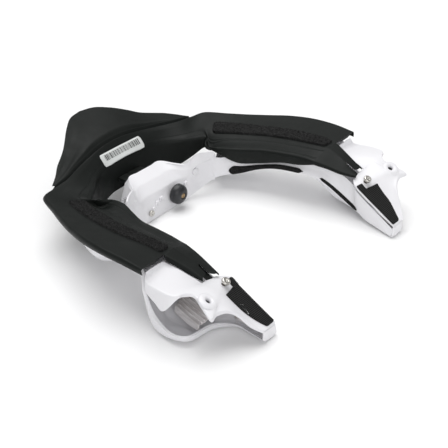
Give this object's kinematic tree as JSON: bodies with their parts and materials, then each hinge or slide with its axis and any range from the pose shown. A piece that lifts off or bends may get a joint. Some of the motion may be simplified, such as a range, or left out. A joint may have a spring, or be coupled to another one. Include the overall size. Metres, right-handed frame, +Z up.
{
  "type": "cervical collar",
  "caption": "Rigid U-shaped neck brace frame with a black upper shell, white chassis with shoulder wings, hook strips and a round rear turn knob, lying body side up.",
  "frame": {"origin": "middle of the footprint, on the surface that the brace lies on", "axes": "+X to the right arm, -Y to the open front, +Y to the rear lobe, +Z up as the brace lies with its body side up"},
  "size_m": [0.2632, 0.2584, 0.0622],
  "materials": {
    "black_shell": "soft-touch matte",
    "white_shell": "satin moulded",
    "hook_tape": "hook tape",
    "stainless_steel": "machined",
    "brass": "machined",
    "knob_rubber": "satin",
    "label_film": "printed film"
  },
  "bodies": {
    "brace": {"access_bush_left": "white_shell", "access_bush_right": "white_shell", "arm_hook_strip_left": "hook_tape", "arm_hook_strip_right": "hook_tape", "chassis_left": "white_shell", "chassis_right": "white_shell", "flange_hook_strip_left": "hook_tape", "flange_hook_strip_right": "hook_tape", "frame_screw_1": "stainless_steel", "frame_screw_2": "stainless_steel", "frame_screw_3": "stainless_steel", "frame_screw_4": "stainless_steel", "frame_spacer_1": "white_shell", "frame_spacer_2": "white_shell", "frame_spacer_3": "white_shell", "frame_spacer_4": "white_shell", "front_insert_left": "brass", "front_insert_right": "brass", "front_plate_left": "white_shell", "front_plate_right": "white_shell", "front_screw_left": "stainless_steel", "front_screw_right": "stainless_steel", "knob_pin": "brass", "lobe_screw_1": "stainless_steel", "lobe_screw_2": "stainless_steel", "lobe_screw_3": "stainless_steel", "rating_label": "label_film", "rear_bracket": "black_shell", "rear_insert_left": "brass", "rear_insert_right": "brass", "rear_screw": "stainless_steel", "rear_yoke": "white_shell", "ring_hook_strip_left": "hook_tape", "ring_hook_strip_right": "hook_tape", "socket_liner_left": "white_shell", "socket_liner_right": "white_shell", "tail_lobe": "black_shell", "tip_hook_strip_left": "hook_tape", "tip_hook_strip_right": "hook_tape", "tip_liner_left": "white_shell", "tip_liner_right": "white_shell", "upper_frame": "black_shell"},
    "knob": {"turn_knob": "knob_rubber"}
  },
  "joints": [
    {"name": "knob_turn", "type": "hinge", "parent": "brace", "child": "knob", "pos_m": [0.0108, 0.0321, 0.0127], "axis": [0, 1, 0], "range_deg": [0, 90]}
  ]
}
